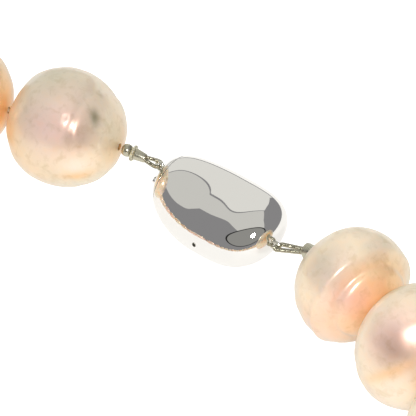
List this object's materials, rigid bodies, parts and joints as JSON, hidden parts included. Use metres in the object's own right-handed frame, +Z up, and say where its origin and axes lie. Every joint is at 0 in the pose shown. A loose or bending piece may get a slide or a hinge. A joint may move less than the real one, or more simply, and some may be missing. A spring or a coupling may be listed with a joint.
{
  "type": "pearl necklace",
  "caption": "Single knotted strand of baroque pearls, laid closed in a loop and joined by a polished pebble-shaped box clasp with a sprung tongue and push button.",
  "frame": {"origin": "middle of the closed loop's box, at the height of the table it lies on", "axes": "+X along the clasp and the loop's long way, +Y from the loop's middle towards the clasp, +Z up"},
  "size_m": [0.1554, 0.1348, 0.0134],
  "materials": {
    "pearl": "satin nacre with soft cream, peach and grey overtones",
    "silver": "mirror-polished silver",
    "bullion": "silvered fine wire coil, slightly tarnished",
    "thread": "twisted silk, cream",
    "cushion": "translucent soft plastic"
  },
  "bodies": {
    "clasp_box": {"clasp_top_shell": "silver", "clasp_bottom_shell": "silver", "clasp_end_plate": "silver", "clasp_receiver": "silver", "box_ring": "silver"},
    "tongue": {"tongue_head": "silver", "tongue_upper_leaf": "silver", "tongue_ring": "silver"},
    "tongue_leaf": {"tongue_spring_leaf": "silver", "push_button": "silver"},
    "tongue_link": {"tongue_bullion": "bullion", "tongue_thread_loop": "thread", "tongue_crimp": "silver", "tongue_cushion": "cushion", "tongue_end_ball": "silver"},
    "box_link": {"box_bullion": "bullion", "box_thread_loop": "thread", "box_crimp": "silver"},
    "left_pearl_01": {"left_pearl_01": "pearl"},
    "left_pearl_02": {"left_pearl_02": "pearl"},
    "left_pearl_03": {"left_pearl_03": "pearl"},
    "left_pearl_04": {"left_pearl_04": "pearl"},
    "left_pearl_05": {"left_pearl_05": "pearl"},
    "left_pearl_06": {"left_pearl_06": "pearl"},
    "left_pearl_07": {"left_pearl_07": "pearl"},
    "left_pearl_08": {"left_pearl_08": "pearl"},
    "left_pearl_09": {"left_pearl_09": "pearl"},
    "left_pearl_10": {"left_pearl_10": "pearl"},
    "left_pearl_11": {"left_pearl_11": "pearl"},
    "left_pearl_12": {"left_pearl_12": "pearl"},
    "left_pearl_13": {"left_pearl_13": "pearl"},
    "left_pearl_14": {"left_pearl_14": "pearl"},
    "left_pearl_15": {"left_pearl_15": "pearl"},
    "right_pearl_01": {"right_pearl_01": "pearl"},
    "right_pearl_02": {"right_pearl_02": "pearl"},
    "right_pearl_03": {"right_pearl_03": "pearl"},
    "right_pearl_04": {"right_pearl_04": "pearl"},
    "right_pearl_05": {"right_pearl_05": "pearl"},
    "right_pearl_06": {"right_pearl_06": "pearl"},
    "right_pearl_07": {"right_pearl_07": "pearl"},
    "right_pearl_08": {"right_pearl_08": "pearl"},
    "right_pearl_09": {"right_pearl_09": "pearl"},
    "right_pearl_10": {"right_pearl_10": "pearl"},
    "right_pearl_11": {"right_pearl_11": "pearl"},
    "right_pearl_12": {"right_pearl_12": "pearl"},
    "right_pearl_13": {"right_pearl_13": "pearl"},
    "right_pearl_14": {"right_pearl_14": "pearl"},
    "right_pearl_15": {"right_pearl_15": "pearl"},
    "right_pearl_16": {"right_pearl_16": "pearl"}
  },
  "joints": [
    {"name": "clasp_tongue_slide", "type": "slide", "parent": "clasp_box", "child": "tongue", "axis": [-1, 0, 0], "range_m": [0, 0.009]},
    {"name": "clasp_button_press", "type": "hinge", "parent": "tongue", "child": "tongue_leaf", "pos_m": [-0.00229, 0.06243, 0.00405], "axis": [0, 1, 0], "range_deg": [0, 4], "stiffness_Nm_per_rad": 0.05},
    {"name": "clasp_tongue_link_swing", "type": "hinge", "parent": "tongue", "child": "tongue_link", "pos_m": [-0.00924, 0.06273, 0.00545], "axis": [0, 1, 0], "range_deg": [-25, 25]},
    {"name": "clasp_box_link_swing", "type": "hinge", "parent": "clasp_box", "child": "box_link", "pos_m": [0.00786, 0.06203, 0.0042], "axis": [0, 1, 0], "range_deg": [-25, 25]},
    {"name": "left_knot_01", "type": "hinge", "parent": "tongue_link", "child": "left_pearl_01", "pos_m": [-0.01387, 0.06147, 0.0064], "axis": [0, 0, -1], "range_deg": [0, 30]},
    {"name": "left_knot_02", "type": "hinge", "parent": "left_pearl_01", "child": "left_pearl_02", "pos_m": [-0.02747, 0.05822, 0.0064], "axis": [-0.3073, 0.9516, 0], "range_deg": [-20, 20]},
    {"name": "left_knot_03", "type": "hinge", "parent": "left_pearl_02", "child": "left_pearl_03", "pos_m": [-0.04023, 0.05297, 0.0064], "axis": [0, 0, -1], "range_deg": [0, 30]},
    {"name": "left_knot_04", "type": "hinge", "parent": "left_pearl_03", "child": "left_pearl_04", "pos_m": [-0.05038, 0.04651, 0.0064], "axis": [0.6223, -0.7827, 0], "range_deg": [-20, 20]},
    {"name": "left_knot_05", "type": "hinge", "parent": "left_pearl_04", "child": "left_pearl_05", "pos_m": [-0.06001, 0.03706, 0.0064], "axis": [0, 0, -1], "range_deg": [0, 30]},
    {"name": "left_knot_06", "type": "hinge", "parent": "left_pearl_05", "child": "left_pearl_06", "pos_m": [-0.06646, 0.0267, 0.0064], "axis": [-0.9043, 0.4269, 0], "range_deg": [-20, 20]},
    {"name": "left_knot_07", "type": "hinge", "parent": "left_pearl_06", "child": "left_pearl_07", "pos_m": [-0.07049, 0.01471, 0.0064], "axis": [0, 0, -1], "range_deg": [0, 30]},
    {"name": "left_knot_08", "type": "hinge", "parent": "left_pearl_07", "child": "left_pearl_08", "pos_m": [-0.07184, 0.0015, 0.0064], "axis": [1, -0.0008, 0], "range_deg": [-20, 20]},
    {"name": "left_knot_09", "type": "hinge", "parent": "left_pearl_08", "child": "left_pearl_09", "pos_m": [-0.07065, -0.01034, 0.0064], "axis": [0, 0, -1], "range_deg": [0, 30]},
    {"name": "left_knot_10", "type": "hinge", "parent": "left_pearl_09", "child": "left_pearl_10", "pos_m": [-0.06665, -0.02302, 0.0064], "axis": [-0.9138, -0.4061, 0], "range_deg": [-20, 20]},
    {"name": "left_knot_11", "type": "hinge", "parent": "left_pearl_10", "child": "left_pearl_11", "pos_m": [-0.06027, -0.0339, 0.0064], "axis": [0, 0, -1], "range_deg": [0, 30]},
    {"name": "left_knot_12", "type": "hinge", "parent": "left_pearl_11", "child": "left_pearl_12", "pos_m": [-0.05197, -0.04288, 0.0064], "axis": [0.6625, 0.7491, 0], "range_deg": [-20, 20]},
    {"name": "left_knot_13", "type": "hinge", "parent": "left_pearl_12", "child": "left_pearl_13", "pos_m": [-0.04102, -0.05075, 0.0064], "axis": [0, 0, -1], "range_deg": [0, 30]},
    {"name": "left_knot_14", "type": "hinge", "parent": "left_pearl_13", "child": "left_pearl_14", "pos_m": [-0.03019, -0.05597, 0.0064], "axis": [-0.3631, -0.9317, 0], "range_deg": [-20, 20]},
    {"name": "left_knot_15", "type": "hinge", "parent": "left_pearl_14", "child": "left_pearl_15", "pos_m": [-0.01783, -0.05971, 0.0064], "axis": [0, 0, -1], "range_deg": [0, 30]},
    {"name": "right_knot_01", "type": "hinge", "parent": "box_link", "child": "right_pearl_01", "pos_m": [0.01356, 0.06221, 0.0064], "axis": [0, 0, 1], "range_deg": [0, 30]},
    {"name": "right_knot_02", "type": "hinge", "parent": "right_pearl_01", "child": "right_pearl_02", "pos_m": [0.02438, 0.0594, 0.0064], "axis": [0.3036, 0.9528, 0], "range_deg": [-20, 20]},
    {"name": "right_knot_03", "type": "hinge", "parent": "right_pearl_02", "child": "right_pearl_03", "pos_m": [0.03485, 0.05542, 0.0064], "axis": [0, 0, 1], "range_deg": [0, 30]},
    {"name": "right_knot_04", "type": "hinge", "parent": "right_pearl_03", "child": "right_pearl_04", "pos_m": [0.04606, 0.0488, 0.0064], "axis": [-0.5859, -0.8104, 0], "range_deg": [-20, 20]},
    {"name": "right_knot_05", "type": "hinge", "parent": "right_pearl_04", "child": "right_pearl_05", "pos_m": [0.05581, 0.04027, 0.0064], "axis": [0, 0, 1], "range_deg": [0, 30]},
    {"name": "right_knot_06", "type": "hinge", "parent": "right_pearl_05", "child": "right_pearl_06", "pos_m": [0.06323, 0.03084, 0.0064], "axis": [0.8468, 0.5319, 0], "range_deg": [-20, 20]},
    {"name": "right_knot_07", "type": "hinge", "parent": "right_pearl_06", "child": "right_pearl_07", "pos_m": [0.06916, 0.01874, 0.0064], "axis": [0, 0, 1], "range_deg": [0, 30]},
    {"name": "right_knot_08", "type": "hinge", "parent": "right_pearl_07", "child": "right_pearl_08", "pos_m": [0.07167, 0.00674, 0.0064], "axis": [-0.9972, -0.0752, 0], "range_deg": [-20, 20]},
    {"name": "right_knot_09", "type": "hinge", "parent": "right_pearl_08", "child": "right_pearl_09", "pos_m": [0.07097, -0.00582, 0.0064], "axis": [0, 0, 1], "range_deg": [0, 30]},
    {"name": "right_knot_10", "type": "hinge", "parent": "right_pearl_09", "child": "right_pearl_10", "pos_m": [0.0668, -0.01847, 0.0064], "axis": [0.9113, -0.4118, 0], "range_deg": [-20, 20]},
    {"name": "right_knot_11", "type": "hinge", "parent": "right_pearl_10", "child": "right_pearl_11", "pos_m": [0.06078, -0.02874, 0.0064], "axis": [0, 0, 1], "range_deg": [0, 30]},
    {"name": "right_knot_12", "type": "hinge", "parent": "right_pearl_11", "child": "right_pearl_12", "pos_m": [0.05222, -0.03886, 0.0064], "axis": [-0.7109, 0.7033, 0], "range_deg": [-20, 20]},
    {"name": "right_knot_13", "type": "hinge", "parent": "right_pearl_12", "child": "right_pearl_13", "pos_m": [0.04262, -0.04715, 0.0064], "axis": [0, 0, 1], "range_deg": [0, 30]},
    {"name": "right_knot_14", "type": "hinge", "parent": "right_pearl_13", "child": "right_pearl_14", "pos_m": [0.03229, -0.05358, 0.0064], "axis": [0.4524, -0.8918, 0], "range_deg": [-20, 20]},
    {"name": "right_knot_15", "type": "hinge", "parent": "right_pearl_14", "child": "right_pearl_15", "pos_m": [0.01977, -0.05861, 0.0064], "axis": [0, 0, 1], "range_deg": [0, 30]},
    {"name": "right_knot_16", "type": "hinge", "parent": "right_pearl_15", "child": "right_pearl_16", "pos_m": [0.00796, -0.06105, 0.0064], "axis": [-0.1178, 0.993, 0], "range_deg": [-20, 20]}
  ]
}
